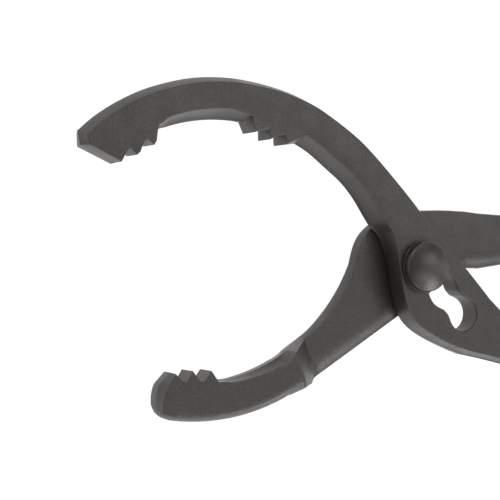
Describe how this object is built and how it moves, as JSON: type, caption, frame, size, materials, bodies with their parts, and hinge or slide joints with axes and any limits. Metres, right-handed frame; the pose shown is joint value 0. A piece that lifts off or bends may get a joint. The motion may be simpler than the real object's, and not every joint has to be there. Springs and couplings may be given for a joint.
{
  "type": "oil filter wrench",
  "caption": "Slip-joint oil filter pliers: two toothed curved jaws cross on a domed pivot bolt in a lobed slot, with long dipped handles.",
  "frame": {"origin": "pivot bolt axis, in the plane the tool rests on when it lies flat (end face of the bolt)", "axes": "+X towards the handles, +Y towards the upper (slotted) jaw, +Z along the pivot axis towards the domed head"},
  "size_m": [0.2954, 0.123, 0.022],
  "materials": {
    "forged_steel": "black phosphate, fine blasted forging grain, semi-matt",
    "bolt_steel": "black oxide, smooth satin",
    "dipped_vinyl": "dipped black vinyl, soft satin"
  },
  "bodies": {
    "pivot_side": {"pivot_lever": "forged_steel", "pivot_bolt": "bolt_steel", "pivot_nut": "bolt_steel", "pivot_lever_grip": "dipped_vinyl"},
    "washer": {"head_washer": "bolt_steel"},
    "slotted_side": {"slotted_lever": "forged_steel", "slotted_lever_grip": "dipped_vinyl"}
  },
  "joints": [
    {"name": "jaw_pivot", "type": "hinge", "parent": "pivot_side", "child": "washer", "pos_m": [0, 0, 0], "axis": [0, 0, -1], "range_deg": [-9, 20]},
    {"name": "slip_adjust", "type": "slide", "parent": "washer", "child": "slotted_side", "axis": [-0.7254, 0.6884, 0], "range_m": [0, 0.0228]}
  ]
}
